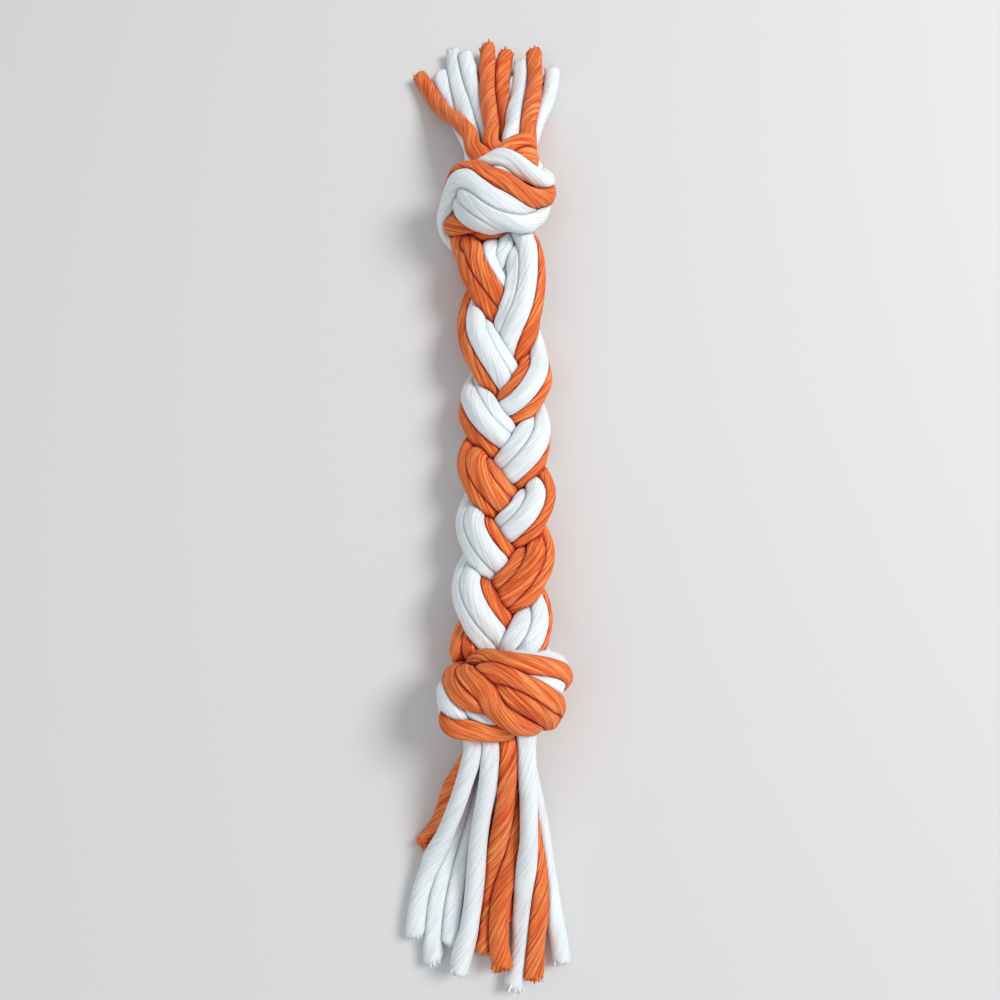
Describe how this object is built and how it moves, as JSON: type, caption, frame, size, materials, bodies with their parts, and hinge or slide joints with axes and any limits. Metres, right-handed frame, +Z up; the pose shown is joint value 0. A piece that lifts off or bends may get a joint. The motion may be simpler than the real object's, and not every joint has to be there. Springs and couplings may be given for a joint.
{
  "type": "rope dog toy",
  "caption": "Plaited cotton rope tug toy for a dog, with an overhand knot and a loose tassel at each end, lying on the floor.",
  "frame": {"origin": "middle of the toy's bounding box, on the floor it lies on", "axes": "+Y along the rope towards the shorter tassel, +Z up, +X across the rope"},
  "size_m": [0.0526, 0.313, 0.0299],
  "materials": {
    "orange_cotton": "matte twisted cotton",
    "white_cotton": "matte twisted cotton"
  },
  "bodies": {
    "braid": {"orange_1_braid": "orange_cotton", "orange_2_braid": "orange_cotton", "orange_3_braid": "orange_cotton", "white_1_braid": "white_cotton", "orange_4_braid": "orange_cotton", "white_2_braid": "white_cotton", "white_3_braid": "white_cotton", "white_4_braid": "white_cotton", "orange_5_braid": "orange_cotton", "white_5_braid": "white_cotton", "white_6_braid": "white_cotton", "orange_6_braid": "orange_cotton"},
    "back_end": {"orange_1_back_knot": "orange_cotton", "orange_2_back_knot": "orange_cotton", "orange_3_back_knot": "orange_cotton", "white_1_back_knot": "white_cotton", "orange_4_back_knot": "orange_cotton", "white_2_back_knot": "white_cotton", "white_3_back_knot": "white_cotton", "white_4_back_knot": "white_cotton", "orange_5_back_knot": "orange_cotton", "white_5_back_knot": "white_cotton", "white_6_back_knot": "white_cotton", "orange_6_back_knot": "orange_cotton"},
    "back_lock_1": {"orange_5_back_tail": "orange_cotton", "white_6_back_tail": "white_cotton", "white_2_back_tail": "white_cotton"},
    "back_lock_2": {"orange_1_back_tail": "orange_cotton", "white_5_back_tail": "white_cotton", "orange_6_back_tail": "orange_cotton"},
    "back_lock_3": {"white_1_back_tail": "white_cotton", "orange_3_back_tail": "orange_cotton", "white_4_back_tail": "white_cotton"},
    "back_lock_4": {"orange_2_back_tail": "orange_cotton", "white_3_back_tail": "white_cotton", "orange_4_back_tail": "orange_cotton"},
    "front_end": {"orange_1_front_knot": "orange_cotton", "orange_2_front_knot": "orange_cotton", "orange_3_front_knot": "orange_cotton", "white_1_front_knot": "white_cotton", "orange_4_front_knot": "orange_cotton", "white_2_front_knot": "white_cotton", "white_3_front_knot": "white_cotton", "white_4_front_knot": "white_cotton", "orange_5_front_knot": "orange_cotton", "white_5_front_knot": "white_cotton", "white_6_front_knot": "white_cotton", "orange_6_front_knot": "orange_cotton"},
    "front_lock_1": {"white_4_front_tail": "white_cotton", "orange_6_front_tail": "orange_cotton", "white_6_front_tail": "white_cotton"},
    "front_lock_2": {"white_3_front_tail": "white_cotton", "orange_4_front_tail": "orange_cotton", "white_5_front_tail": "white_cotton"},
    "front_lock_3": {"orange_1_front_tail": "orange_cotton", "orange_3_front_tail": "orange_cotton", "orange_5_front_tail": "orange_cotton"},
    "front_lock_4": {"white_1_front_tail": "white_cotton", "orange_2_front_tail": "orange_cotton", "white_2_front_tail": "white_cotton"}
  },
  "joints": [
    {"name": "back_bend", "type": "hinge", "parent": "braid", "child": "back_end", "pos_m": [0.00617, 0.02511, 0.00962], "axis": [0, 0, 1], "range_deg": [-40, 40]},
    {"name": "back_lock_1_swing", "type": "hinge", "parent": "back_end", "child": "back_lock_1", "pos_m": [-0.00763, 0.10811, 0.0173], "axis": [0, 0, 1], "range_deg": [0, 40]},
    {"name": "back_lock_2_lift", "type": "hinge", "parent": "back_end", "child": "back_lock_2", "pos_m": [0.00118, 0.10811, 0.01924], "axis": [1, 0, 0], "range_deg": [0, 45]},
    {"name": "back_lock_3_lift", "type": "hinge", "parent": "back_end", "child": "back_lock_3", "pos_m": [0.00771, 0.10811, 0.01926], "axis": [1, 0, 0], "range_deg": [0, 45]},
    {"name": "back_lock_4_swing", "type": "hinge", "parent": "back_end", "child": "back_lock_4", "pos_m": [0.01645, 0.10811, 0.0173], "axis": [0, 0, -1], "range_deg": [0, 40]},
    {"name": "front_bend", "type": "hinge", "parent": "braid", "child": "front_end", "pos_m": [0.00615, -0.02089, 0.00967], "axis": [0, 0, 1], "range_deg": [-40, 40]},
    {"name": "front_lock_1_swing", "type": "hinge", "parent": "front_end", "child": "front_lock_1", "pos_m": [-0.00542, -0.08889, 0.0173], "axis": [0, 0, -1], "range_deg": [0, 40]},
    {"name": "front_lock_2_lift", "type": "hinge", "parent": "front_end", "child": "front_lock_2", "pos_m": [0.00193, -0.08889, 0.01922], "axis": [-1, 0, 0], "range_deg": [0, 45]},
    {"name": "front_lock_3_lift", "type": "hinge", "parent": "front_end", "child": "front_lock_3", "pos_m": [0.00692, -0.08889, 0.01922], "axis": [-1, 0, 0], "range_deg": [0, 45]},
    {"name": "front_lock_4_swing", "type": "hinge", "parent": "front_end", "child": "front_lock_4", "pos_m": [0.01414, -0.08889, 0.0173], "axis": [0, 0, 1], "range_deg": [0, 40]}
  ]
}
